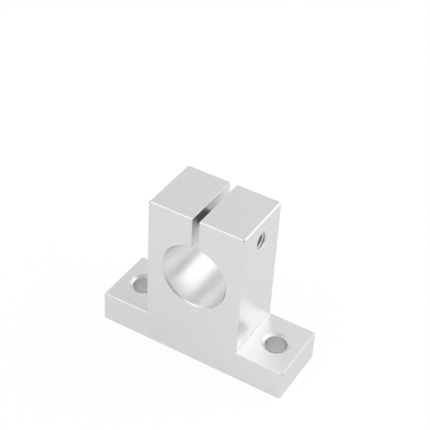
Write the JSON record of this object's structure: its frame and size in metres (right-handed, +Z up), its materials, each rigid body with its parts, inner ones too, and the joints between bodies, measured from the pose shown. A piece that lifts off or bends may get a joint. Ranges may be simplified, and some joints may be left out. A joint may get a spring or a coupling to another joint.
{
  "type": "shaft support block",
  "caption": "T-shaped one-piece shaft support: a split bore that a recessed socket screw clamps round a linear shaft, and a bolt hole through each foot.",
  "frame": {"origin": "centre of the flat underside, on the surface that the block is bolted to", "axes": "+Z up, away from that surface; Y along the shaft; X along the base from foot to foot, with the tapped side of the tower at +X and the screw's head at -X"},
  "size_m": [0.06, 0.02, 0.051],
  "materials": {
    "anodised_aluminium": "clear anodised, satin, with a smooth bored seat",
    "black_steel": "black oxide, lightly oiled"
  },
  "bodies": {
    "block": {"support_block": "anodised_aluminium"},
    "screw": {"clamp_screw": "black_steel"}
  },
  "joints": [
    {"name": "clamp_screw_turn", "type": "hinge", "parent": "block", "child": "screw", "pos_m": [0, 0, 0.04425], "axis": [1, 0, 0], "range_deg": [-720, 0]}
  ]
}
